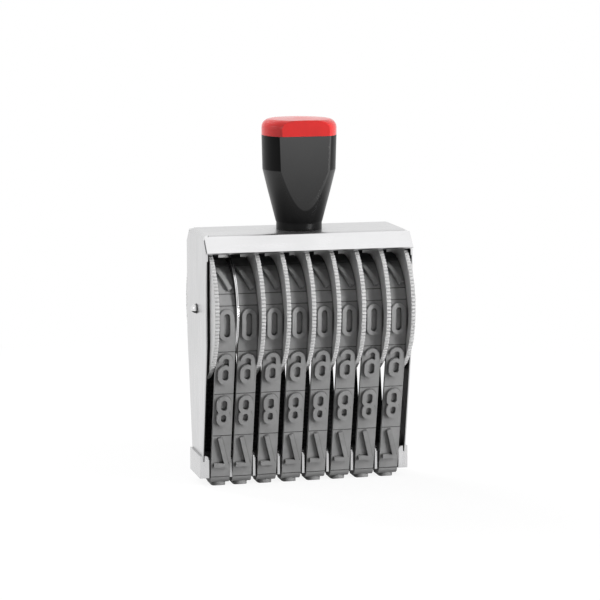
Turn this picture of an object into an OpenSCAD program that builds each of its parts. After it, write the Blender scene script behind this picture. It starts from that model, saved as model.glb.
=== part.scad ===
// Hand number stamp: endless rubber bands on thumb wheels in a folded steel frame, with a screwed-on handle.
// Z = 0 is the printing face, X runs along the line of characters and -Y is the front.

/* [Characters] */
// Height of a printed character
char_height = 14.6; // [13:0.1:16]
// Width of a printed character
char_width = 6.7; // [5:0.1:7.2]
// Width of a character's strokes
char_stroke = 1.9; // [1.2:0.1:2.1]
// Height of the characters above the band
char_relief = 1.6; // [0.8:0.1:2]
// How far the characters sit above the middle of their fields
char_shift = 2.2; // [0:0.1:2.6]

/* [Bands] */
// Number of bands side by side
band_count = 8; // [4:1:10]
// Width of a band
band_width = 9; // [8:0.1:12]
// Thickness of a band without its characters
band_thickness = 1.9; // [1.5:0.1:3]
// Inner radius of the slack bow in which a band hangs over its drum
loop_radius = 24.4; // [23:0.1:25]
// Distance of the slash's base line from the lower edge of its field
slash_rise = 5.2; // [3:0.1:7]
// Width of the groove between two characters' fields
groove_width = 0.4; // [0.2:0.1:0.8]
// Depth of the groove between two characters' fields
groove_depth = 0.35; // [0.2:0.05:0.6]

/* [Wheels] */
// Height of the axle above the printing face
axle_z = 82.4; // [76:0.2:92]
// Radius of the drum that carries the band
drum_radius = 21.2; // [19:0.1:22.5]
// Wall of the drum
drum_wall = 1.8; // [1:0.1:3]
// Radius over the teeth of the thumb rim
rim_radius = 32.85; // [31:0.05:34]
// Thickness of the thumb rim
rim_thickness = 2; // [1.2:0.1:2.4]
// Number of teeth on the thumb rim
rim_teeth = 120; // [90:2:150]
// Depth of the teeth on the thumb rim
tooth_depth = 0.5; // [0.3:0.1:1]
// Radius of the smooth flange disc
flange_radius = 27.2; // [26.5:0.1:30]
// Thickness of the smooth flange disc
flange_thickness = 0.5; // [0.4:0.1:0.8]
// Radius of the wheel's hub
hub_radius = 5; // [4:0.5:8]

/* [Axle] */
// Radius of the axle rod
axle_radius = 2.5; // [2:0.1:3]
// Radius of the axle's spigots in the side plates
spigot_radius = 1.2; // [1:0.1:1.6]
// Radius of the domed heads on the axle's ends
axle_head_radius = 2; // [1.7:0.05:2.4]
// Height of the domed heads on the axle's ends
axle_head_height = 1; // [0.6:0.1:1.4]
// Radius of the washers at the ends of the wheel stack
washer_radius = 6; // [5:0.5:9]
// Thickness of the washers at the ends of the wheel stack
washer_thickness = 0.7; // [0.5:0.1:1]

/* [Frame] */
// Thickness of the frame's sheet
sheet = 1; // [0.8:0.1:1.4]
// Inside radius of the frame's bends
bend_radius = 1.5; // [1:0.1:2.5]
// Free height between the thumb rims and the frame's top
rim_headroom = 2.05; // [1.6:0.05:4]
// Depth of the frame's flat top, measured to the lips' bend lines
top_depth = 33.2; // [28:0.2:36]
// How far each lip reaches out from its bend line
lip_reach = 7; // [5:0.2:8]
// How far each lip drops from its bend line
lip_drop = 7.26; // [5:0.02:8]
// How far each lip's ends stay inside the outer faces of the side plates
lip_end_gap = 0.4; // [0.2:0.1:2.5]
// Slit between each lip's bend line and the side plates' upper corners
lip_slit = 1.1; // [1:0.1:1.6]
// Depth of the side plates at the axle
plate_depth = 42.4; // [38:0.2:46]
// Depth of the side plates at their lower ends
plate_foot_depth = 19.2; // [18:0.2:20]
// Height below the axle where the side plates start to narrow
plate_taper_drop = 13.9; // [8:0.1:20]
// Height of the sloped corners at the top of the side plates
plate_corner_drop = 7.3; // [5:0.1:10]

/* [Printing end] */
// Length of the flat face under each character, front to back
anvil_flat = 15; // [13:0.5:16]
// Radius that the band bends round at the anvil's corners
anvil_corner = 2; // [1.5:0.1:3.5]
// Height of the anvil bar
anvil_height = 9; // [7:0.5:12]
// Depth of the grooves in the anvil bar that hold the dividers
anvil_groove = 0.5; // [0.3:0.1:1]
// Depth of the anvil bar's tenons, front to back
tenon_depth = 8; // [5:0.5:10]
// Height of the anvil bar's tenons
tenon_height = 4; // [3:0.5:5]
// Thickness of a divider
divider_thickness = 1.2; // [0.8:0.1:1.6]
// Height of the frame's lower end above the printing face
foot_z = 4.25; // [4:0.05:4.6]
// Height of the feet and the dividers
foot_height = 10.55; // [10:0.05:14]
// Gap between the anvil bar and the feet's flanges
foot_gap = 0.55; // [0.3:0.05:1]
// Thickness of the feet's sheet
foot_sheet = 1.1; // [0.8:0.1:1.2]
// Width of a foot's flanges from the side plate's inner face
foot_flange = 2.3; // [1.6:0.1:2.4]
// Radius of the rounded tops of the dividers and the feet's flanges
foot_round = 2; // [1:0.1:2.3]

/* [Handle] */
// Height of the handle's collar
collar_height = 3.2; // [2:0.2:6]
// Radius of the handle's collar
collar_radius = 10.65; // [9:0.05:11]
// Radius at the lower end of the handle's taper
taper_radius = 11; // [10:0.1:12]
// Height of the step between the collar and the taper
collar_step = 1; // [0.5:0.1:2]
// Radius halfway up the handle's taper
taper_mid_radius = 14.55; // [13:0.05:15.5]
// Height of the lower half of the handle's taper
taper_mid_height = 13.8; // [10:0.1:18]
// Height of the upper half of the handle's taper
taper_top_height = 10; // [8:0.1:14]
// Radius at the crease above the taper
crease_radius = 17; // [16:0.1:18]
// Height of the grip above the crease
grip_height = 15.9; // [12:0.1:20]
// Radius at the top of the grip
grip_radius = 17.4; // [16.5:0.1:18.5]
// Height of the cap
cap_height = 8; // [6.5:0.1:11]
// Radius of the cap's rounded upper edge
cap_round = 4; // [2:0.1:5]
// How far the cap's top rises towards its middle
cap_crown = 0.6; // [0.3:0.1:1]
// Distance between the flat facets at the handle's front and back
facet_distance = 26.6; // [25:0.2:30]
// Radius of the spigot that the cap sits on
cap_spigot_radius = 9; // [6:0.5:11]
// Height of the spigot that the cap sits on
cap_spigot_height = 4; // [2:0.5:5]
// Radius of the handle's stud
stud_radius = 3; // [2:0.5:4]
// Length of the stud inside the handle
stud_length = 14; // [8:0.5:18]
// Radius of the stud's flat head under the frame's top
stud_head_radius = 8; // [6:0.5:10]
// Thickness of the stud's flat head
stud_head_thickness = 0.8; // [0.6:0.1:1]
// Radius of the threaded insert
insert_radius = 5; // [4.5:0.5:7]
// Length of the threaded insert
insert_length = 16; // [10:0.5:19]

/* [Clearances] */
// Radial clearance of the wheels on the axle
axle_clearance = 0.05; // [0.02:0.01:0.1]
// Clearance between a band and its drum or the anvil bar
band_slip = 0.1; // [0.05:0.05:0.2]
// Clearance between a band's edges and its wheel's flanks
band_side_clearance = 0.1; // [0.05:0.05:0.2]
// Clearance between neighbouring wheels
wheel_clearance = 0.1; // [0.05:0.05:0.3]
// Clearance at both faces of a washer
washer_clearance = 0.05; // [0.02:0.01:0.1]
// Clearance between pieces that are fixed together
fit_clearance = 0.03; // [0.01:0.01:0.05]

/* [Hidden] */
$fn = 96;
// Overlap that joins a raised form to the surface under it
root_depth = 0.2;
// Extra length of cutting shapes past the faces that they cut
cut_extra = 1;
// How far a bend bulges past the straight runs at its ends
bend_bulge = 0.03;

// Characters in the order in which they climb the front from the printing face
CHARACTERS = ["6", "7", "8", "9", "0", "/", "-", "1", "2", "3", "4", "5"];
// Places in that order of the slash and of the characters that bend with the band
slash_place = 5;
bent_places = [0, 4, 5, 6, 7, 8];
flat_places = [1, 2, 3, 9, 10, 11];

// Wheel stack along X
wheel_pitch = wheel_clearance + flange_thickness + 2*band_side_clearance + band_width + rim_thickness;
stack_width = band_count*wheel_pitch;
inner_half_width = stack_width/2 + washer_thickness + 2*washer_clearance;
frame_half_width = inner_half_width + sheet;
flange_x = wheel_clearance/2;
drum_x = flange_x + flange_thickness;
rim_x = drum_x + 2*band_side_clearance + band_width;

// Path of a slack band: over the drum in a bow, down two leaning runs and under the anvil bar
loop_z = axle_z + drum_radius + band_slip - loop_radius;
corner_y = anvil_flat/2;
corner_z = anvil_corner + band_thickness + char_relief - bend_bulge;
centre_drop = loop_z - corner_z;
centre_distance = norm([corner_y, centre_drop]);
lean = asin((loop_radius - anvil_corner)/centre_distance) - atan2(corner_y, centre_drop);
bow_angle = 180 + 2*lean;
corner_angle = 90 - lean;
run_start = corner_y + anvil_corner*corner_angle*PI/180;
run_length = sqrt(pow(centre_distance, 2) - pow(loop_radius - anvil_corner, 2));
bow_start = run_start + run_length;
loop_length = 2*bow_start + loop_radius*bow_angle*PI/180;
field_length = loop_length/len(CHARACTERS);

// Frame heights and depths
frame_top = axle_z + rim_radius + rim_headroom + sheet;
outer_bend = bend_radius + sheet;
lip_angle = atan2(lip_drop, lip_reach);
bend_setback = outer_bend*tan(lip_angle/2);
lip_bend_y = top_depth/2 - bend_setback;
lip_length = norm([lip_reach, lip_drop]) - bend_setback;
bend_lap = sqrt(bend_bulge*(bend_radius + outer_bend));
bend_lap_angle = atan2(bend_lap, bend_radius + sheet/2);
top_half_width = frame_half_width - outer_bend;
lip_half_width = frame_half_width - lip_end_gap;
plate_corner_z = frame_top - plate_corner_drop;
plate_taper_z = axle_z - plate_taper_drop;

// Printing end
anvil_bottom = band_thickness + char_relief + band_slip;
anvil_half_depth = corner_y + anvil_corner - band_slip;
anvil_corner_radius = anvil_corner - band_slip;
anvil_half_width = inner_half_width - fit_clearance;
foot_depth = 2*(anvil_half_depth + foot_gap + foot_sheet);
tenon_z = anvil_bottom + anvil_height/2;

// Handle heights
collar_top = frame_top + collar_height;
taper_z = collar_top + collar_step;
taper_mid_z = taper_z + taper_mid_height;
crease_z = taper_mid_z + taper_top_height;
cap_z = crease_z + grip_height;

// Colours as photographed
steel_colour = [0.82, 0.82, 0.82];
bright_colour = [0.9, 0.9, 0.9];
wheel_colour = [0.7, 0.7, 0.7];
rubber_colour = [0.47, 0.47, 0.47];
black_colour = [0.12, 0.12, 0.12];
red_colour = [0.84, 0.25, 0.26];
brass_colour = [0.78, 0.62, 0.3];

// Left end of a wheel's place in the stack, and of its band: the first wheel is turned end for end
function place_x(k) = (k - 1)*wheel_pitch - stack_width/2;
function band_x(k) = place_x(k) + (k == 1 ? wheel_pitch - drum_x - band_side_clearance - band_width
                                         : drum_x + band_side_clearance);
// Middle of the gap between a band and the next one
function gap_x(k) = (band_x(k) + band_width + band_x(k + 1))/2;

// Distance along the band of a field's middle, measured from the printing face up the front
function field_at(i) = i*field_length;
// The same distance, counted negative down the back from the middle of the printing face
function signed_at(s) = s > loop_length/2 ? s - loop_length : s;
// Outward direction of the band at a distance up the front, as an angle in the YZ plane
function front_angle(s) =
    s <= corner_y ? 270
    : s <= run_start ? 270 - (s - corner_y)/anvil_corner*180/PI
    : s <= bow_start ? 180 + lean
    : 180 + lean - (s - bow_start)/loop_radius*180/PI;
// Point of the band's inner face at a distance up the front
function front_point(s) =
    let (angle = front_angle(s), out = [cos(angle), sin(angle)])
    s <= corner_y ? [-s, corner_z - anvil_corner]
    : s <= run_start ? [-corner_y, corner_z] + anvil_corner*out
    : s <= bow_start ? [-corner_y, corner_z] + anvil_corner*out + (s - run_start)*[-sin(lean), cos(lean)]
    : [0, loop_z] + loop_radius*out;
// Both for any signed distance: the back mirrors the front
function band_angle(s) = s >= 0 ? front_angle(s) : 180 - front_angle(-s);
function band_point(s) = s >= 0 ? front_point(s) : [-front_point(-s)[0], front_point(-s)[1]];

// Draws shapes made in the YZ plane, thick along X
module in_side_plane(x) {
    translate([x, 0, 0]) rotate([90, 0, 90]) children();
}

// Ring sector in the drawing plane, from one radius to another and thick upwards
module ring_sector(r_in, r_out, start, angle, height) {
    rotate([0, 0, start])
        rotate_extrude(angle = angle)
            translate([r_in, 0]) square([r_out - r_in, height]);
}

// Straight stroke of a character between two points
module stroke_bar(from, to, height) {
    run = to - from;
    translate([from[0], from[1], 0])
        rotate([0, 0, atan2(run[1], run[0])])
            translate([0, -char_stroke/2, 0]) cube([norm(run), char_stroke, height]);
}

// Round stroke of a character about a centre
module stroke_arc(centre, radius, start, angle, height) {
    translate([centre[0], centre[1], 0])
        ring_sector(radius - char_stroke/2, radius + char_stroke/2, start, angle, height);
}

// Closed loop stroke with round ends between two heights
module stroke_loop(low, high, radius, height) {
    stroke_arc([0, high - radius], radius, 0, 180, height);
    stroke_arc([0, low + radius], radius, 180, 180, height);
    for (side = [-1, 1])
        stroke_bar([side*radius, low + radius], [side*radius, high - radius], height);
}

// Open bowl on the right between two heights, whose lower end turns back to the left
module stroke_bowl(low, high, radius, height) {
    stroke_arc([0, high - radius], radius, 0, 90, height);
    stroke_bar([radius, low + radius], [radius, high - radius], height);
    stroke_arc([0, low + radius], radius, 180, 180, height);
}

// Six: a loop with a stem on its left that curls to the right at the top
module stroke_six(half_w, half_h, height) {
    stroke_loop(-half_h, half_h*0.15, half_w, height);
    stroke_bar([-half_w, half_w - half_h], [-half_w, half_h - half_w], height);
    stroke_arc([0, half_h - half_w], half_w, 0, 180, height);
}

// A character, upright and centred, thick upwards from zero
module character(sign, height) {
    half_w = (char_width - char_stroke)/2;
    half_h = (char_height - char_stroke)/2;
    end_w = char_width/2;
    end_h = char_height/2;
    waist = half_h*0.1;
    if (sign == "0") stroke_loop(-half_h, half_h, half_w, height);
    if (sign == "1") {
        stroke_bar([half_w*0.2, -end_h], [half_w*0.2, end_h], height);
        stroke_bar([-half_w*0.9, half_h*0.6], [half_w*0.2, half_h*0.9], height);
    }
    if (sign == "2") {
        stroke_arc([0, half_h - half_w], half_w, -30, 200, height);
        stroke_bar([-half_w, -half_h], [half_w*cos(30), half_h - half_w*1.5], height);
        stroke_bar([-end_w, -half_h], [end_w, -half_h], height);
    }
    if (sign == "3") {
        stroke_bowl(-half_h, waist, half_w, height);
        mirror([0, 1, 0]) stroke_bowl(-half_h, -waist, half_w, height);
    }
    if (sign == "4") {
        stroke_bar([half_w*0.5, -end_h], [half_w*0.5, end_h], height);
        stroke_bar([-end_w, -half_h*0.45], [end_w, -half_h*0.45], height);
        stroke_bar([-half_w, -half_h*0.45], [half_w*0.5, half_h], height);
    }
    if (sign == "5") {
        stroke_bowl(-half_h, waist, half_w, height);
        stroke_bar([-end_w, waist], [0, waist], height);
        stroke_bar([-half_w, waist], [-half_w, half_h], height);
        stroke_bar([-end_w, half_h], [end_w, half_h], height);
    }
    if (sign == "6") stroke_six(half_w, half_h, height);
    if (sign == "7") {
        stroke_bar([-end_w, half_h], [end_w, half_h], height);
        stroke_bar([-half_w*0.5, -end_h], [half_w, half_h], height);
    }
    if (sign == "8") {
        stroke_loop(-half_h, waist, half_w, height);
        stroke_loop(waist, half_h, half_w*0.92, height);
    }
    if (sign == "9") rotate([0, 0, 180]) stroke_six(half_w, half_h, height);
    if (sign == "-") stroke_bar([-half_w, 0], [half_w, 0], height);
    if (sign == "/") stroke_bar([-half_w, -half_h], [half_w, half_h], height);
}

// Space inside a loop, up to a height above the band's inner face, drawn in the side plane
module loop_core(above, extra) {
    bow = loop_radius + above;
    corner = anvil_corner + above;
    width = band_width + 2*extra;
    out = [cos(180 + lean), sin(180 + lean)];
    upper = [0, loop_z] + (bow - bend_bulge)*out;
    lower = [-corner_y, corner_z] + (corner - bend_bulge)*out;
    flat_z = corner_z - corner + bend_bulge;
    half_sides = [upper, lower, [-corner_y, flat_z - bend_bulge]];
    translate([0, 0, -extra]) intersection() {
        union() {
            translate([0, loop_z, 0]) cylinder(r = bow, h = width);
            for (side = [-1, 1]) translate([side*corner_y, corner_z, 0]) cylinder(r = corner, h = width);
            linear_extrude(width) polygon(concat(
                half_sides,
                [for (i = [len(half_sides) - 1:-1:0]) [-half_sides[i][0], half_sides[i][1]]]
            ));
        }
        translate([-bow - cut_extra, flat_z, 0]) cube([2*(bow + cut_extra), loop_z + bow, width]);
    }
}

// Layer of a band between two heights above its inner face, drawn in the side plane
module band_layer(low, high) {
    difference() {
        loop_core(high, 0);
        loop_core(low, cut_extra);
    }
}

// Puts a shape on the band at a distance along it, with its upward side outward
module on_band(s, above) {
    point = band_point(signed_at(s));
    translate([point[0], point[1], band_width/2])
        rotate([0, 0, band_angle(signed_at(s))])
            translate([above, 0, 0]) mirror([0, 0, 1]) rotate([0, 90, 0]) children();
}

// Groove across the band at a distance along it
module field_groove(s) {
    on_band(s, band_thickness - groove_depth)
        translate([-band_width/2 - cut_extra, -groove_width/2, 0])
            cube([band_width + 2*cut_extra, groove_width, groove_depth + cut_extra]);
}

// Rubber band with raised characters that read backwards, as type does
module band(k) {
    color(rubber_colour) in_side_plane(band_x(k)) {
        difference() {
            band_layer(0, band_thickness);
            for (i = [0:len(CHARACTERS) - 1]) field_groove(field_at(i) + field_length/2);
            field_groove(field_at(slash_place) - field_length/2 + slash_rise);
        }
        for (i = flat_places)
            on_band(field_at(i) + char_shift, band_thickness - root_depth)
                character(CHARACTERS[i], char_relief + root_depth);
        intersection() {
            band_layer(band_thickness - root_depth, band_thickness + char_relief);
            for (i = bent_places)
                on_band(field_at(i) + char_shift, 0) character(CHARACTERS[i], band_thickness + 2*char_relief);
        }
    }
}

// Puts a wheel's pieces in their place in the stack, turning the first end for end
module in_stack(k) {
    translate([place_x(k) + (k == 1 ? wheel_pitch : 0), 0, axle_z])
        mirror([k == 1 ? 1 : 0, 0, 0]) rotate([0, 90, 0]) children();
}

// Outline of the thumb rim, with a flat-topped tooth at every step
module rim_outline() {
    step = 360/rim_teeth;
    root_radius = rim_radius - tooth_depth;
    polygon([
        for (i = [0:rim_teeth - 1], corner = [[-0.22, rim_radius], [0.22, rim_radius], [0.5, root_radius]])
            corner[1]*[cos((i + corner[0])*step), sin((i + corner[0])*step)]
    ]);
}

// Thumb wheel: serrated rim, drum for the band and hub on the axle
module wheel(k) {
    color(wheel_colour) in_stack(k) difference() {
        union() {
            translate([0, 0, rim_x]) linear_extrude(rim_thickness) rim_outline();
            translate([0, 0, drum_x]) difference() {
                cylinder(r = drum_radius, h = rim_x - drum_x);
                translate([0, 0, -cut_extra])
                    cylinder(r = drum_radius - drum_wall, h = rim_x - drum_x + cut_extra);
            }
            translate([0, 0, flange_x]) cylinder(r = hub_radius, h = rim_x - flange_x + root_depth);
        }
        cylinder(r = axle_radius + axle_clearance, h = wheel_pitch);
    }
}

// Smooth flange disc on the wheel's hub, against the end of the drum
module flange(k) {
    color(bright_colour) in_stack(k) translate([0, 0, flange_x]) difference() {
        cylinder(r = flange_radius, h = flange_thickness);
        translate([0, 0, -cut_extra])
            cylinder(r = hub_radius + fit_clearance, h = flange_thickness + 2*cut_extra);
    }
}

// Side view of the frame: plates that narrow downwards, with sloped upper corners
module plate_outline(grow = 0) {
    half_sides = [
        [plate_foot_depth/2 + grow, foot_z],
        [plate_depth/2 + grow, plate_taper_z],
        [plate_depth/2 + grow, plate_corner_z],
        [lip_bend_y - lip_slit + grow, frame_top]
    ];
    polygon(concat(
        half_sides,
        [for (i = [len(half_sides) - 1:-1:0]) [-half_sides[i][0], half_sides[i][1]]]
    ));
}

// Bend and side plate on the right
module side_plate() {
    intersection() {
        union() {
            translate([top_half_width, plate_depth/2, frame_top - outer_bend])
                rotate([90, 0, 0]) ring_sector(bend_radius, outer_bend, 0, 90, plate_depth);
            translate([inner_half_width, -plate_depth/2, foot_z])
                cube([sheet, plate_depth, frame_top - outer_bend - foot_z]);
        }
        in_side_plane(top_half_width) linear_extrude(outer_bend) plate_outline();
    }
}

// Flat top of the frame, let into the lips' bends
module flat_top() {
    reach = lip_bend_y + bend_lap;
    translate([-top_half_width, -reach, frame_top - sheet]) cube([2*top_half_width, 2*reach, sheet]);
}

// Slanted lip at the back, bent down from the top and wider than its bend
module lip() {
    translate([0, lip_bend_y, frame_top - outer_bend]) rotate([90, 0, 90]) {
        translate([0, 0, -top_half_width])
            ring_sector(bend_radius + bend_bulge, outer_bend + bend_bulge,
                        90 - lip_angle - bend_lap_angle, lip_angle + 2*bend_lap_angle, 2*top_half_width);
        rotate([0, 0, 90 - lip_angle])
            translate([bend_radius, -lip_length, -lip_half_width])
                cube([sheet, lip_length + bend_lap, 2*lip_half_width]);
    }
}

// Frame: one folded sheet with holes for the axle, the anvil bar's tenons and the handle's stud
module frame() {
    color(steel_colour) difference() {
        union() {
            flat_top();
            lip();
            mirror([0, 1, 0]) lip();
            side_plate();
            mirror([1, 0, 0]) side_plate();
        }
        translate([-frame_half_width - cut_extra, 0, axle_z]) rotate([0, 90, 0])
            cylinder(r = spigot_radius + fit_clearance, h = 2*(frame_half_width + cut_extra));
        tenon_bar(2*(frame_half_width + cut_extra), fit_clearance);
        translate([0, 0, frame_top - sheet - cut_extra])
            cylinder(r = stud_radius + fit_clearance, h = sheet + 2*cut_extra);
    }
}

// Axle: rod with shouldered spigots whose ends are peened into domed heads
module axle() {
    rod = inner_half_width - fit_clearance;
    head = frame_half_width + fit_clearance;
    head_curve = (pow(axle_head_radius, 2) + pow(axle_head_height, 2))/(2*axle_head_height);
    color(bright_colour) translate([0, 0, axle_z]) rotate([0, 90, 0]) {
        translate([0, 0, -rod]) cylinder(r = axle_radius, h = 2*rod);
        translate([0, 0, -head]) cylinder(r = spigot_radius, h = 2*head);
        for (side = [0, 1]) mirror([0, 0, side]) intersection() {
            translate([0, 0, head])
                cylinder(r = axle_head_radius + cut_extra, h = axle_head_height + cut_extra);
            translate([0, 0, head + axle_head_height - head_curve]) sphere(r = head_curve);
        }
    }
}

// Washer on the axle between the wheel stack and a side plate
module washer(side) {
    color(bright_colour) mirror([side, 0, 0])
        translate([stack_width/2 + washer_clearance, 0, axle_z]) rotate([0, 90, 0]) difference() {
            cylinder(r = washer_radius, h = washer_thickness);
            translate([0, 0, -cut_extra])
                cylinder(r = axle_radius + axle_clearance, h = washer_thickness + 2*cut_extra);
        }
}

// Section of the anvil bar with rounded lower edges, as a bar of a given length about the middle
module anvil_section(inset, length) {
    half_depth = anvil_half_depth - inset;
    radius = anvil_corner_radius - inset;
    bottom = anvil_bottom + inset;
    top = anvil_bottom + anvil_height - inset;
    in_side_plane(-length/2) {
        translate([-half_depth, bottom + radius, 0]) cube([2*half_depth, top - bottom - radius, length]);
        translate([radius - half_depth, bottom, 0]) cube([2*(half_depth - radius), radius, length]);
        for (side = [0, 1]) mirror([side, 0, 0])
            translate([half_depth - radius, bottom + radius, 0]) ring_sector(0, radius, 270, 90, length);
    }
}

// Bar with the section of the anvil bar's tenons
module tenon_bar(length, grow) {
    translate([-length/2, -tenon_depth/2 - grow, tenon_z - tenon_height/2 - grow])
        cube([length, tenon_depth + 2*grow, tenon_height + 2*grow]);
}

// Anvil bar inside the bands: grooved for the dividers and tenoned into the side plates
module anvil_bar() {
    slot = divider_thickness + 2*fit_clearance;
    edges = concat(
        [-anvil_half_width],
        [for (k = [1:band_count - 1], side = [-1, 1]) gap_x(k) + side*slot/2],
        [anvil_half_width]
    );
    color(black_colour) {
        anvil_section(anvil_groove, 2*anvil_half_width);
        for (i = [0:2:len(edges) - 2])
            translate([(edges[i] + edges[i + 1])/2, 0, 0]) anvil_section(0, edges[i + 1] - edges[i]);
        tenon_bar(2*frame_half_width, 0);
    }
}

// Upright plate with rounded upper corners, as deep as the feet, drawn in the side plane
module foot_plate(thickness) {
    straight = foot_height - foot_round;
    translate([-foot_depth/2, foot_z, 0]) cube([foot_depth, straight, thickness]);
    translate([foot_round - foot_depth/2, foot_z + straight, 0])
        cube([foot_depth - 2*foot_round, foot_round, thickness]);
    for (side = [0, 1]) mirror([side, 0, 0])
        translate([foot_depth/2 - foot_round, foot_z + straight, 0])
            ring_sector(0, foot_round, 0, 90, thickness);
}

// Divider between two bands: a saddle that straddles the anvil bar in one of its grooves
module divider(k) {
    color(bright_colour) translate([gap_x(k), 0, 0]) difference() {
        in_side_plane(-divider_thickness/2) foot_plate(divider_thickness);
        anvil_section(anvil_groove - fit_clearance, divider_thickness + 2*cut_extra);
        translate([-divider_thickness, -anvil_half_depth + anvil_groove - fit_clearance, foot_z - cut_extra])
            cube([2*divider_thickness, 2*(anvil_half_depth - anvil_groove + fit_clearance),
                  anvil_corner + cut_extra]);
    }
}

// Foot: sheet clip over a side plate's lower end, with slotted flanges at the front and the back
module foot(side) {
    wall_x = frame_half_width + fit_clearance;
    tab_x = inner_half_width - foot_flange;
    flange_width = wall_x + foot_sheet - tab_x;
    color(bright_colour) mirror([side, 0, 0]) difference() {
        union() {
            translate([wall_x, -foot_depth/2, foot_z]) cube([foot_sheet, foot_depth, foot_height]);
            for (back = [0, 1]) mirror([0, back, 0]) translate([tab_x, foot_depth/2, foot_z]) {
                translate([0, -foot_sheet, 0]) cube([flange_width, foot_sheet, foot_height - foot_round]);
                translate([foot_round, -foot_sheet, foot_height - foot_round])
                    cube([flange_width - foot_round, foot_sheet, foot_round]);
                translate([foot_round, 0, foot_height - foot_round])
                    rotate([90, 0, 0]) ring_sector(0, foot_round, 90, 90, foot_sheet);
            }
        }
        in_side_plane(inner_half_width - fit_clearance)
            linear_extrude(sheet + 2*fit_clearance) plate_outline(fit_clearance);
    }
}

// Cuts a handle piece flat at the front and the back
module faceted() {
    reach = 2*(grip_radius + cut_extra);
    intersection() {
        children();
        translate([-reach/2, -facet_distance/2, frame_top]) cube([reach, facet_distance, cap_z + cap_height]);
    }
}

// Stud that the handle screws onto, with a flat head under the frame's top
module handle_stud() {
    color(steel_colour) {
        translate([0, 0, frame_top - sheet - fit_clearance - stud_head_thickness])
            cylinder(r = stud_head_radius, h = stud_head_thickness);
        translate([0, 0, frame_top - sheet - fit_clearance - root_depth])
            cylinder(r = stud_radius, h = sheet + fit_clearance + root_depth + stud_length);
    }
}

// Threaded insert in the handle, shown as a plain bush at the thread's major diameter
module handle_insert() {
    color(brass_colour) translate([0, 0, frame_top + fit_clearance]) difference() {
        cylinder(r = insert_radius, h = insert_length);
        translate([0, 0, -cut_extra])
            cylinder(r = stud_radius + fit_clearance, h = stud_length + 2*cut_extra);
    }
}

// Handle body: collar, taper and grip turned about the axis, with a spigot for the cap
module handle_body() {
    color(black_colour) difference() {
        union() {
            faceted() rotate_extrude() polygon([
                [0, frame_top + fit_clearance],
                [collar_radius, frame_top + fit_clearance],
                [collar_radius, collar_top],
                [taper_radius, taper_z],
                [taper_mid_radius, taper_mid_z],
                [crease_radius, crease_z],
                [grip_radius, cap_z],
                [0, cap_z]
            ]);
            translate([0, 0, cap_z - root_depth])
                cylinder(r = cap_spigot_radius, h = cap_spigot_height + root_depth);
        }
        translate([0, 0, frame_top - cut_extra])
            cylinder(r = insert_radius + fit_clearance, h = insert_length + 2*fit_clearance + cut_extra);
    }
}

// Cap on the handle's spigot, with a rounded upper edge and a slight crown
module handle_cap() {
    edge_z = cap_z + cap_height - cap_crown - cap_round;
    edge_r = grip_radius - cap_round;
    color(red_colour) difference() {
        faceted() rotate_extrude() polygon(concat(
            [[0, cap_z + fit_clearance], [grip_radius, cap_z + fit_clearance]],
            [for (a = [0:7.5:90]) [edge_r + cap_round*cos(a), edge_z + cap_round*sin(a)]],
            [[0, cap_z + cap_height]]
        ));
        translate([0, 0, cap_z - cut_extra])
            cylinder(r = cap_spigot_radius + fit_clearance,
                     h = cap_spigot_height + fit_clearance + cut_extra);
    }
}

frame();
axle();
washer(1);  // left_washer
washer(0);  // right_washer
for (k = [1:band_count]) {
    wheel(k);
    flange(k);
    band(k);
}
anvil_bar();
for (k = [1:band_count - 1]) {
    divider(k);
}
foot(1);  // left_foot
foot(0);  // right_foot
handle_stud();
handle_insert();
handle_body();
handle_cap();
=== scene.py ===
"""Number stamp: finishes, woven band backing, peened axle ends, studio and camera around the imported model."""
import math

import bmesh
import bpy
from mathutils import Matrix, Vector
from mathutils.bvhtree import BVHTree


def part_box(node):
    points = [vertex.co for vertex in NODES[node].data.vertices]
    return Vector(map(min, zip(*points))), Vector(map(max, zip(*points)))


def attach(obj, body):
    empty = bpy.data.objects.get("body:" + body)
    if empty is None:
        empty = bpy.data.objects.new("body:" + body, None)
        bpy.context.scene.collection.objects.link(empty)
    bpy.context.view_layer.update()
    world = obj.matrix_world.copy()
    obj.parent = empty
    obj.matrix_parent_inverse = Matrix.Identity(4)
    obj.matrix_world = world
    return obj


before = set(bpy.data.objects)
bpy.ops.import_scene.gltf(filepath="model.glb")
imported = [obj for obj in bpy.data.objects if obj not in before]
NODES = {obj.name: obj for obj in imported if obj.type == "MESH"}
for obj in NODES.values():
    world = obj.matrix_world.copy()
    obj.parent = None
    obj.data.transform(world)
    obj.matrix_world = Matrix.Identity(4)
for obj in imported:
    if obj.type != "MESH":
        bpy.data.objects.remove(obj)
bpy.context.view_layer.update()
MM = 0.001
STATIC_BODY = "stamp_body"

# Edge rounding and shading of the carried-over pieces
STEEL_EDGE = 0.12 * MM
TOOTH_EDGE = 0.12 * MM
RUBBER_EDGE = 0.16 * MM
CAP_EDGE = 0.5 * MM
HANDLE_EDGE = 0.9 * MM
EDGE_STEPS = 2
WELD_GAP = 0.001 * MM
LARGE_FACE_WEIGHT = 100
SHARP_ANGLE = math.radians(55)
MOULDED_ANGLE = math.radians(14)
CRISP_ANGLE = math.radians(38)

# Places on the frame and the axle
PLATE_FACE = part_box("frame")[1].x
PLATE_MIDDLE = PLATE_FACE - 0.5 * MM
LIP_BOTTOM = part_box("frame")[1].z - 11.3 * MM
AXLE_HEIGHT = (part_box("axle")[0].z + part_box("axle")[1].z) / 2

# Radius, height and mesh steps of the peened axle ends
AXLE_END = 2.2 * MM
AXLE_DOME = 2.7 * MM
DOME_RINGS = 12
DOME_SIDES = 40

# Heights on the bands where the painted shadow of the lips begins and where it covers the rubber
LIP_SHADOW_BOTTOM = AXLE_HEIGHT + 19.4 * MM
LIP_SHADOW_TOP = AXLE_HEIGHT + 21.8 * MM

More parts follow.
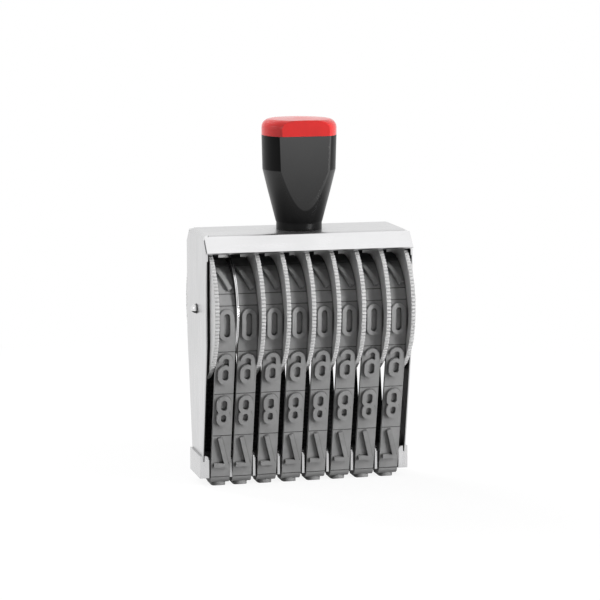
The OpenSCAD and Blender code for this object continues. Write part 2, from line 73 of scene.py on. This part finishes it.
# Woven lining inside the bands: how its faces are found and joined, and its weave
LOOP_SPAN = 14 * MM
LINING_LIFT = 0.04 * MM
SIDE_LEAN = 0.1
SAME_PLACE = 0.01 * MM
THREADS_PER_METRE = 1800

# Places on the handle
HANDLE_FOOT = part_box("handle_body")[0].z
COLLAR_TOP = HANDLE_FOOT + 3.7 * MM
GRIP_CREASE = HANDLE_FOOT + 28 * MM
CAP_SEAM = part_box("handle_cap")[0].z
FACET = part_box("handle_body")[1].y - HANDLE_EDGE
FACET_EDGE = FACET - 0.8 * MM

# Specular level of the handle's zones, where a pair runs from the zone's lower end to its upper end
COLLAR_SHINE = 0.12
TAPER_SHINE = (0.08, 0.4)
GRIP_SHINE = 0.08
FACET_SHINE = (0.33, 0.95)

# Roughness of the handle's facets and of its round parts
POLISHED = 0.18
SATIN = 0.32

# Ranges that shader values are mapped between
FULL = (0, 1)
SOFT = (0.3, 0.7)
FIRM = (0.35, 0.65)

# Colours and strength of painted shade, the lift of handling smudges, and the softness of a border between two
# finishes
PAINTED_SHADE = (0.02, 0.02, 0.02)
UNDERSIDE_SHADE = (0.015, 0.015, 0.015)
SHADE_COVER = (0, 0.95)
SMUDGE_LIFT = 0.001
ZONE_BLEND = 0.1 * MM
OCCLUSION_SAMPLES = 8

# Viewpoint of the photograph, fitted to its outlines
CAMERA_TURN = math.radians(14.213)
CAMERA_TILT = math.radians(8.708)
CAMERA_DISTANCE = 1161.5 * MM
CAMERA_AIM = Vector((0, -1.94, 84.84)) * MM
CAMERA_SENSOR = 36
CAMERA_LENS = 149.2

# Points that the lamps are aimed at, in metres
BODY_MIDDLE = (0, 0, 0.08)
FRAME_SHOULDER = (0, 0, 0.12)
HANDLE_MIDDLE = (0, 0, 0.16)


# Shader helpers
def new_material(name, colour, metallic, roughness):
    """A Principled material, its nodes, its links and its shader."""
    material = bpy.data.materials.new(name)
    material.use_nodes = True
    nodes, links = material.node_tree.nodes, material.node_tree.links
    shader = nodes["Principled BSDF"]
    shader.inputs["Base Color"].default_value = (*colour, 1)
    shader.inputs["Metallic"].default_value = metallic
    shader.inputs["Roughness"].default_value = roughness
    return material, nodes, links, shader


def tint(colour, share):
    """A colour made darker or paler by a share, up to white."""
    return tuple(min(1, channel * share) for channel in colour)


def object_coordinates(nodes, links, stretch=(1, 1, 1)):
    """Object coordinates in metres, stretched along the axes."""
    coordinates = nodes.new("ShaderNodeTexCoord")
    mapping = nodes.new("ShaderNodeMapping")
    mapping.inputs["Scale"].default_value = stretch
    links.new(coordinates.outputs["Object"], mapping.inputs["Vector"])
    return mapping.outputs["Vector"]


def coordinate(nodes, links, axis):
    """One of the object coordinates, in metres."""
    split = nodes.new("ShaderNodeSeparateXYZ")
    links.new(object_coordinates(nodes, links), split.inputs["Vector"])
    return split.outputs[axis]


def distance_from_axle(nodes, links):
    """Distance from the axle's line, for finishes on the side plates."""
    measure = nodes.new("ShaderNodeVectorMath")
    measure.operation = "DISTANCE"
    links.new(object_coordinates(nodes, links, (0, 1, 1)), measure.inputs[0])
    measure.inputs[1].default_value = (0, 0, AXLE_HEIGHT)
    return measure.outputs["Value"]


def noise(nodes, links, vector, waves, detail, rough=0.55):
    """Noise of a given number of waves per metre."""
    texture = nodes.new("ShaderNodeTexNoise")
    texture.inputs["Scale"].default_value = waves
    texture.inputs["Detail"].default_value = detail
    texture.inputs["Roughness"].default_value = rough
    links.new(vector, texture.inputs["Vector"])
    return texture.outputs["Fac"]


def crevices(nodes, reach):
    """One in the open and falling to zero in corners, as far as a reach."""
    occlusion = nodes.new("ShaderNodeAmbientOcclusion")
    occlusion.samples = OCCLUSION_SAMPLES
    occlusion.inputs["Distance"].default_value = reach
    return occlusion.outputs["AO"]


def ramp(nodes, links, value, source, target):
    """Maps a value from one range to another and stops at its ends."""
    mapped = nodes.new("ShaderNodeMapRange")
    limits = (*source, *target)
    for socket, limit in zip(("From Min", "From Max", "To Min", "To Max"), limits):
        mapped.inputs[socket].default_value = limit
    links.new(value, mapped.inputs["Value"])
    return mapped.outputs["Result"]


def mix_colours(nodes, links, factor, first, second):
    """Blends two colours, each a fixed colour or a socket, by a socket."""
    mix = nodes.new("ShaderNodeMix")
    mix.data_type = "RGBA"
    links.new(factor, mix.inputs["Factor"])
    for name, colour in (("A", first), ("B", second)):
        socket = next(s for s in mix.inputs if s.name == name and s.type == "RGBA")
        if isinstance(colour, tuple):
            socket.default_value = (*colour, 1)
        else:
            links.new(colour, socket)
    return next(s for s in mix.outputs if s.type == "RGBA")


def past(nodes, links, axis, place):
    """One where an object coordinate is above a place and zero below it."""
    blend = (place - ZONE_BLEND, place + ZONE_BLEND)
    return ramp(nodes, links, coordinate(nodes, links, axis), blend, FULL)


def choose(nodes, links, mask, below, above):
    """One of two values, each a number or a socket, by a mask."""
    mix = nodes.new("ShaderNodeMix")
    links.new(mask, mix.inputs["Factor"])
    for socket, value in zip(mix.inputs[2:4], (below, above)):
        if isinstance(value, float):
            socket.default_value = value
        else:
            links.new(value, socket)
    return mix.outputs["Result"]


def by_distance(nodes, links, axis, distance, inner, outer):
    """One value up to a distance on both sides of the object's middle, and another beyond it."""
    up_to_far = choose(nodes, links, past(nodes, links, axis, distance), inner, outer)
    return choose(nodes, links, past(nodes, links, axis, -distance), outer, up_to_far)


def add_bump(nodes, links, shader, height, depth):
    """Bump of a given depth in metres, on top of any bump already there."""
    bump = nodes.new("ShaderNodeBump")
    bump.inputs["Distance"].default_value = depth
    links.new(height, bump.inputs["Height"])
    normal = shader.inputs["Normal"]
    if normal.is_linked:
        links.new(normal.links[0].from_socket, bump.inputs["Normal"])
    links.new(bump.outputs["Normal"], normal)


# Finishes
def inner_faces(nodes, links):
    """One on the inner faces of the side plates, below the lips."""
    between = by_distance(nodes, links, "X", PLATE_MIDDLE, 1.0, 0.0)
    return choose(nodes, links, past(nodes, links, "Z", LIP_BOTTOM), between, 0.0)


def plated_steel(name, colour, roughness, stretch, shade_ring=None, shade_inside=False):
    """Satin plated steel: faint rolling lines and clouds, with painted shade in hollows, in a ring round the
    axle's end and on the inner faces.
    """
    material, nodes, links, shader = new_material(name, colour, 1.0, roughness)
    cloud = noise(nodes, links, object_coordinates(nodes, links), waves=45, detail=4)
    lines = noise(nodes, links, object_coordinates(nodes, links, stretch), waves=700, detail=2)
    shade = mix_colours(nodes, links, ramp(nodes, links, cloud, SOFT, FULL), tint(colour, 0.94), colour)
    # Painted shade: darker in hollows and corners, by ambient occlusion
    open_share = ramp(nodes, links, crevices(nodes, reach=14 * MM), (0.15, 0.6), FULL)
    shade = mix_colours(nodes, links, open_share, tint(colour, 0.12), shade)
    # Painted contact shade: a dark ring round the axle's end
    if shade_ring:
        ring = ramp(nodes, links, distance_from_axle(nodes, links), shade_ring, SHADE_COVER)
        shade = mix_colours(nodes, links, ring, shade, PAINTED_SHADE)
    # Painted shade: the inner faces of the side plates made nearly black
    if shade_inside:
        shade = mix_colours(nodes, links, inner_faces(nodes, links), shade, PAINTED_SHADE)
    links.new(shade, shader.inputs["Base Color"])
    uneven = ramp(nodes, links, lines, SOFT, (roughness * 0.85, roughness * 1.2))
    links.new(uneven, shader.inputs["Roughness"])
    add_bump(nodes, links, shader, lines, depth=0.004 * MM)
    return material


def shade_underside(material, height):
    """Darkens a bright material below a height with painted shade on its underside."""
    nodes, links = material.node_tree.nodes, material.node_tree.links
    colour = nodes["Principled BSDF"].inputs["Base Color"]
    unshaded = colour.links[0].from_socket
    links.new(mix_colours(nodes, links, past(nodes, links, "Z", height), UNDERSIDE_SHADE, unshaded), colour)


def cast_metal(name, colour, metallic, roughness):
    """Dull die-cast metal of the thumb wheels: grainy, with painted shade between the teeth and in corners."""
    material, nodes, links, shader = new_material(name, colour, metallic, roughness)
    grain = noise(nodes, links, object_coordinates(nodes, links), waves=900, detail=4, rough=0.6)
    shade_colour = tint(colour, 0.2)
    shade = mix_colours(nodes, links, ramp(nodes, links, grain, FIRM, FULL), tint(colour, 0.85), colour)
    # Painted shade between the teeth and in wider corners, by ambient occlusion
    tooth_share = ramp(nodes, links, crevices(nodes, reach=0.8 * MM), (0.55, 0.95), (0.65, 1))
    shade = mix_colours(nodes, links, tooth_share, shade_colour, shade)
    open_share = ramp(nodes, links, crevices(nodes, reach=8 * MM), (0.1, 0.45), FULL)
    shade = mix_colours(nodes, links, open_share, shade_colour, shade)
    links.new(shade, shader.inputs["Base Color"])
    uneven = ramp(nodes, links, grain, SOFT, (roughness * 0.85, roughness * 1.2))
    links.new(uneven, shader.inputs["Roughness"])
    add_bump(nodes, links, shader, grain, depth=0.02 * MM)
    return material


def rubber(name, colour, roughness, specular):
    """Moulded stamp rubber: matte, with fine pores, dusty patches, painted shade in corners and a painted
    shadow under the lips.
    """
    material, nodes, links, shader = new_material(name, colour, 0.0, roughness)
    shader.inputs["Specular IOR Level"].default_value = specular
    vector = object_coordinates(nodes, links)
    patches = noise(nodes, links, vector, waves=160, detail=5, rough=0.6)
    pores = noise(nodes, links, vector, waves=3800, detail=3, rough=0.6)
    ripples = noise(nodes, links, vector, waves=600, detail=2)
    shade_colour = tint(colour, 0.15)
    dust = ramp(nodes, links, patches, (0.32, 0.68), FULL)
    dusty = mix_colours(nodes, links, dust, tint(colour, 0.9), tint(colour, 1.1))
    # Painted shade in corners, by ambient occlusion
    open_share = ramp(nodes, links, crevices(nodes, reach=1.2 * MM), (0.3, 0.85), FULL)
    corner_shaded = mix_colours(nodes, links, open_share, shade_colour, dusty)
    # Painted shadow of the lips on the bands' upper part
    lip_shadow = ramp(nodes, links, coordinate(nodes, links, "Z"), (LIP_SHADOW_BOTTOM, LIP_SHADOW_TOP), SHADE_COVER)
    links.new(mix_colours(nodes, links, lip_shadow, corner_shaded, shade_colour), shader.inputs["Base Color"])
    uneven = ramp(nodes, links, patches, SOFT, (roughness - 0.1, roughness + 0.1))
    links.new(uneven, shader.inputs["Roughness"])
    add_bump(nodes, links, shader, pores, depth=0.02 * MM)
    add_bump(nodes, links, shader, ripples, depth=0.03 * MM)
    return material


def moulded_plastic(name, colour, roughness, specular):
    """Moulded plastic with a fine skin texture and faint handling marks."""
    material, nodes, links, shader = new_material(name, colour, 0.0, roughness)
    shader.inputs["Specular IOR Level"].default_value = specular
    vector = object_coordinates(nodes, links)
    smudges = noise(nodes, links, vector, waves=70, detail=5, rough=0.6)
    skin = noise(nodes, links, vector, waves=1500, detail=2)
    light = tuple(channel + SMUDGE_LIFT for channel in tint(colour, 1.1))
    shade = mix_colours(nodes, links, ramp(nodes, links, smudges, SOFT, FULL), tint(colour, 0.92), light)
    links.new(shade, shader.inputs["Base Color"])
    uneven = ramp(nodes, links, smudges, (0.35, 0.7), (roughness * 0.88, roughness * 1.15))
    links.new(uneven, shader.inputs["Roughness"])
    add_bump(nodes, links, shader, skin, depth=0.002 * MM)
    return material


def handle_plastic(name, colour):
    """Black handle: satin all round with a dull collar and grip, and polished on its two facets."""
    material = moulded_plastic(name, colour, POLISHED, GRIP_SHINE)
    nodes, links = material.node_tree.nodes, material.node_tree.links
    shader = nodes["Principled BSDF"]
    height = coordinate(nodes, links, "Z")
    taper = ramp(nodes, links, height, (COLLAR_TOP, GRIP_CREASE), TAPER_SHINE)
    up_to_crease = choose(nodes, links, past(nodes, links, "Z", COLLAR_TOP), COLLAR_SHINE, taper)
    all_round = choose(nodes, links, past(nodes, links, "Z", GRIP_CREASE), up_to_crease, GRIP_SHINE)
    facet = ramp(nodes, links, height, (COLLAR_TOP, CAP_SEAM), FACET_SHINE)
    shine = by_distance(nodes, links, "Y", FACET, all_round, facet)
    links.new(shine, shader.inputs["Specular IOR Level"])
    polished = shader.inputs["Roughness"].links[0].from_socket
    polish = by_distance(nodes, links, "Y", FACET_EDGE, SATIN, polished)
    links.new(polish, shader.inputs["Roughness"])
    return material


def woven_fabric(name, colour, roughness):
    """Plain weave of the bands' backing: one set of threads across the band and one along it."""
    material, nodes, links, shader = new_material(name, colour, 0.0, roughness)
    crossing = nodes.new("ShaderNodeMath")
    crossing.operation = "MULTIPLY"
    for socket, stretch in zip(crossing.inputs, ((1, 0, 0), (0, 1, 1))):
        wave = nodes.new("ShaderNodeTexWave")
        wave.bands_direction = "DIAGONAL"
        wave.inputs["Scale"].default_value = THREADS_PER_METRE / math.tau
        wave.inputs["Distortion"].default_value = 0.4
        links.new(object_coordinates(nodes, links, stretch), wave.inputs["Vector"])
        links.new(wave.outputs["Fac"], socket)
    weave = crossing.outputs["Value"]
    links.new(mix_colours(nodes, links, weave, colour, tint(colour, 5)), shader.inputs["Base Color"])
    add_bump(nodes, links, shader, weave, depth=0.08 * MM)
    return material


SHEET = plated_steel("plated_sheet", (0.64, 0.64, 0.645), roughness=0.3, stretch=(0.05, 1, 0.05),
                     shade_ring=(AXLE_END * 1.3, AXLE_END), shade_inside=True)
DOME = plated_steel("peened_end", (0.75, 0.75, 0.755), roughness=0.12, stretch=(1, 1, 1),
                    shade_ring=(AXLE_END * 0.92, AXLE_END))
# Painted shade on the lower part of the peened end
shade_underside(DOME, AXLE_HEIGHT - AXLE_END * 0.4)
FOOT = plated_steel("plated_foot", (0.6, 0.6, 0.605), roughness=0.26, stretch=(1, 1, 0.05))
BRIGHT = plated_steel("bright_steel", (0.72, 0.72, 0.725), roughness=0.22, stretch=(1, 0.2, 0.2))
BRASS = plated_steel("turned_brass", (0.75, 0.58, 0.25), roughness=0.25, stretch=(1, 1, 0.05))
WHEEL = cast_metal("wheel_metal", (0.58, 0.58, 0.58), metallic=0.25, roughness=0.5)
RUBBER = rubber("stamp_rubber", (0.24, 0.24, 0.24), roughness=0.72, specular=0.3)
BLACK = handle_plastic("black_plastic", (0.003, 0.003, 0.0031))
ANVIL = moulded_plastic("anvil_plastic", (0.012, 0.012, 0.012), roughness=0.5, specular=0.3)
RED = moulded_plastic("red_plastic", (0.55, 0.009, 0.008), roughness=0.2, specular=0.45)
FABRIC = woven_fabric("woven_backing", (0.006, 0.006, 0.006), roughness=0.85)

# Material, edge round and least angle of a rounded edge, by the longest of these words in a piece's name
FINISHES = {
    "frame": (SHEET, STEEL_EDGE, SHARP_ANGLE),
    "foot": (FOOT, STEEL_EDGE, SHARP_ANGLE),
    "divider": (FOOT, STEEL_EDGE, SHARP_ANGLE),
    "wheel": (WHEEL, TOOTH_EDGE, SHARP_ANGLE),
    "flange": (BRIGHT, TOOTH_EDGE, SHARP_ANGLE),
    "axle": (BRIGHT, STEEL_EDGE, SHARP_ANGLE),
    "washer": (BRIGHT, STEEL_EDGE, SHARP_ANGLE),
    "stud": (BRIGHT, STEEL_EDGE, SHARP_ANGLE),
    "band": (RUBBER, RUBBER_EDGE, SHARP_ANGLE),
    "anvil": (ANVIL, STEEL_EDGE, SHARP_ANGLE),
    "handle_body": (BLACK, HANDLE_EDGE, MOULDED_ANGLE),
    "handle_cap": (RED, CAP_EDGE, MOULDED_ANGLE),
    "insert": (BRASS, STEEL_EDGE, SHARP_ANGLE),
}


def smooth_shading():
    """Node group that shades across shallow edges and keeps sharp edges crisp."""
    group = bpy.data.node_groups.new("smooth_shading", "GeometryNodeTree")
    group.interface.new_socket("Geometry", in_out="INPUT", socket_type="NodeSocketGeometry")
    group.interface.new_socket("Geometry", in_out="OUTPUT", socket_type="NodeSocketGeometry")
    nodes, links = group.nodes, group.links
    geometry = nodes.new("NodeGroupInput").outputs[0]
    angle = nodes.new("GeometryNodeInputMeshEdgeAngle")
    shallow = nodes.new("FunctionNodeCompare")
    shallow.operation = "LESS_THAN"
    shallow.inputs["B"].default_value = CRISP_ANGLE
    links.new(angle.outputs["Unsigned Angle"], shallow.inputs["A"])
    for domain in ("FACE", "EDGE"):
        shade = nodes.new("GeometryNodeSetShadeSmooth")
        shade.domain = domain
        links.new(geometry, shade.inputs[0])
        geometry = shade.outputs[0]
    links.new(shallow.outputs["Result"], shade.inputs["Shade Smooth"])
    links.new(geometry, nodes.new("NodeGroupOutput").inputs[0])
    return group


SMOOTH_SHADING = smooth_shading()


def finish_node(name, material, edge, angle):
    """Gives a carried-over piece its material, slightly rounded edges and clean shading."""
    piece = NODES[name]
    piece.data.materials.clear()
    piece.data.materials.append(material)
    weld = piece.modifiers.new("weld", "WELD")
    weld.merge_threshold = WELD_GAP
    bevel = piece.modifiers.new("edges", "BEVEL")
    bevel.width = edge
    bevel.segments = EDGE_STEPS
    bevel.limit_method = "ANGLE"
    bevel.angle_limit = angle
    shading = piece.modifiers.new("shading", "NODES")
    shading.node_group = SMOOTH_SHADING
    normals = piece.modifiers.new("normals", "WEIGHTED_NORMAL")
    normals.weight = LARGE_FACE_WEIGHT
    normals.keep_sharp = True


for node_name in sorted(NODES):
    word = max((word for word in FINISHES if word in node_name), key=len)
    finish_node(node_name, *FINISHES[word])


# Woven backing
def lining(band_name):
    """Fabric on the inner face of a band: the faces that look across the loop at the band itself."""
    mesh = NODES[band_name].data
    places = [vertex.co for vertex in mesh.vertices]
    tree = BVHTree.FromPolygons(places, [face.vertices for face in mesh.polygons])
    points, faces, index = [], [], {}
    for face in mesh.polygons:
        lift = face.normal * LINING_LIFT
        across = tree.ray_cast(face.center + lift, face.normal)[3]
        if abs(face.normal.x) > SIDE_LEAN or across is None or across < LOOP_SPAN:
            continue
        corners = []
        for vertex in face.vertices:
            key = tuple(round(part / SAME_PLACE) for part in places[vertex])
            if key not in index:
                index[key] = len(points)
                points.append(places[vertex] + lift)
            corners.append(index[key])
        faces.append(corners)
    cloth = bpy.data.meshes.new(band_name + "_lining")
    cloth.from_pydata(points, [], faces)
    cloth.materials.append(FABRIC)
    piece = bpy.data.objects.new(band_name + "_lining", cloth)
    bpy.context.scene.collection.objects.link(piece)
    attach(piece, STATIC_BODY)


for node_name in sorted(NODES):
    if node_name.startswith("band_"):
        lining(node_name)


# Peened axle ends
def axle_end(name, side):
    """Domed button that the axle's end is peened to, on the outside of a side plate."""
    turns = [math.tau * k / DOME_SIDES for k in range(DOME_SIDES)]
    work = bmesh.new()
    rings = []
    for i in range(DOME_RINGS):
        tilt = math.radians(90) * i / DOME_RINGS
        spread = AXLE_END * math.cos(tilt)
        rise = AXLE_DOME * math.sin(tilt)
        places = [(rise, spread * math.cos(turn), spread * math.sin(turn)) for turn in turns]
        rings.append([work.verts.new(place) for place in places])
    for low, high in zip(rings, rings[1:]):
        for k in range(DOME_SIDES):
            work.faces.new((low[k - 1], low[k], high[k], high[k - 1]))
    tip = work.verts.new((AXLE_DOME, 0, 0))
    for k in range(DOME_SIDES):
        work.faces.new((rings[-1][k - 1], rings[-1][k], tip))
    work.faces.new(reversed(rings[0]))
    mirror = Matrix.Diagonal((side, 1, 1, 1))
    seat = Matrix.Translation((side * PLATE_FACE, 0, AXLE_HEIGHT))
    bmesh.ops.transform(work, verts=work.verts, matrix=seat @ mirror)
    bmesh.ops.recalc_face_normals(work, faces=work.faces)
    mesh = bpy.data.meshes.new(name)
    work.to_mesh(mesh)
    work.free()
    mesh.shade_smooth()
    mesh.materials.append(DOME)
    piece = bpy.data.objects.new(name, mesh)
    bpy.context.scene.collection.objects.link(piece)
    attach(piece, STATIC_BODY)


axle_end("left_axle_end", -1)
axle_end("right_axle_end", 1)


# Studio
def area_light(name, place, target, size, power, glare=True):
    """Soft rectangular lamp aimed at a point, which glossy surfaces show if it has glare."""
    lamp = bpy.data.lights.new(name, "AREA")
    lamp.shape = "RECTANGLE"
    lamp.size, lamp.size_y = size
    lamp.energy = power
    holder = bpy.data.objects.new(name, lamp)
    holder.location = place
    holder.rotation_mode = "QUATERNION"
    holder.rotation_quaternion = (Vector(target) - Vector(place)).to_track_quat("-Z", "Y")
    holder.visible_glossy = glare
    bpy.context.scene.collection.objects.link(holder)


def seen_directly(nodes, links):
    """One for rays from the camera, mirrors and glass, so that they see the plain white background."""
    path = nodes.new("ShaderNodeLightPath")
    total = path.outputs["Is Camera Ray"]
    for name in ("Is Glossy Ray", "Is Transmission Ray"):
        largest = nodes.new("ShaderNodeMath")
        largest.operation = "MAXIMUM"
        links.new(total, largest.inputs[0])
        links.new(path.outputs[name], largest.inputs[1])
        total = largest.outputs[0]
    return total


def white_world(diffuse_level):
    """White to look at, and a softer level as light on the object."""
    world = bpy.data.worlds.new("studio")
    bpy.context.scene.world = world
    world.use_nodes = True
    nodes, links = world.node_tree.nodes, world.node_tree.links
    background = nodes["Background"]
    background.inputs["Color"].default_value = (1, 1, 1, 1)
    level = ramp(nodes, links, seen_directly(nodes, links), FULL, (diffuse_level, 1))
    links.new(level, background.inputs["Strength"])


def white_floor(size, white, bounce, shadow_share, shadow_reach):
    """White floor that keeps part of the object's shadow, and throws back less light than it shows."""
    half = size / 2
    mesh = bpy.data.meshes.new("floor")
    corners = [(-half, -half, 0), (half, -half, 0), (half, half, 0), (-half, half, 0)]
    mesh.from_pydata(corners, [], [(0, 1, 2, 3)])
    floor = bpy.data.objects.new("floor", mesh)
    bpy.context.scene.collection.objects.link(floor)
    material, nodes, links, shader = new_material("floor", (1, 1, 1), 0.0, 0.9)
    direct = seen_directly(nodes, links)
    shade = mix_colours(nodes, links, direct, (bounce, bounce, bounce), (white, white, white))
    links.new(shade, shader.inputs["Base Color"])
    away = nodes.new("ShaderNodeVectorMath")
    away.operation = "LENGTH"
    links.new(object_coordinates(nodes, links), away.inputs[0])
    fade = (shadow_reach / 2, shadow_reach)
    white_share = ramp(nodes, links, away.outputs["Value"], fade, (1 - shadow_share, 1))
    glow = nodes.new("ShaderNodeEmission")
    mix = nodes.new("ShaderNodeMixShader")
    links.new(choose(nodes, links, direct, 0.0, white_share), mix.inputs["Fac"])
    links.new(shader.outputs["BSDF"], mix.inputs[1])
    links.new(glow.outputs["Emission"], mix.inputs[2])
    links.new(mix.outputs["Shader"], nodes["Material Output"].inputs["Surface"])
    mesh.materials.append(material)


def camera():
    """The photograph's viewpoint: a long lens, from the left and slightly above."""
    level = math.cos(CAMERA_TILT)
    right = math.sin(CAMERA_TURN) * level
    ahead = math.cos(CAMERA_TURN) * level
    forward = Vector((right, ahead, -math.sin(CAMERA_TILT)))
    data = bpy.data.cameras.new("camera")
    data.sensor_width = CAMERA_SENSOR
    data.lens = CAMERA_LENS
    data.clip_start = 0.05
    data.clip_end = 100
    holder = bpy.data.objects.new("camera", data)
    holder.location = CAMERA_AIM - forward * CAMERA_DISTANCE
    holder.rotation_mode = "QUATERNION"
    holder.rotation_quaternion = forward.to_track_quat("-Z", "Y")
    bpy.context.scene.collection.objects.link(holder)
    bpy.context.scene.camera = holder


white_world(0.06)
white_floor(size=60, white=0.98, bounce=0.3, shadow_share=0.12, shadow_reach=0.4)
area_light("key", (0.88, -0.82, 0.6), BODY_MIDDLE, size=(0.18, 1.2), power=20, glare=False)
area_light("front", (0.3, -1.35, 0.35), FRAME_SHOULDER, size=(0.6, 0.5), power=0.5, glare=False)
area_light("left", (-0.9, -0.5, 0.5), BODY_MIDDLE, size=(0.5, 0.5), power=0.8)
area_light("top", (0.48, -0.39, 2.0), BODY_MIDDLE, size=(2.4, 2.4), power=7.5)
area_light("back", (-0.7, 1.2, 1.1), BODY_MIDDLE, size=(0.8, 0.8), power=26, glare=False)
area_light("side", (-0.6, 0.1, 0.34), HANDLE_MIDDLE, size=(0.25, 0.25), power=2, glare=False)
area_light("low_strip", (0.44, -0.48, 0.06), FRAME_SHOULDER, size=(0.2, 0.12), power=1.2)
camera()
bpy.context.scene.view_settings.view_transform = "Standard"
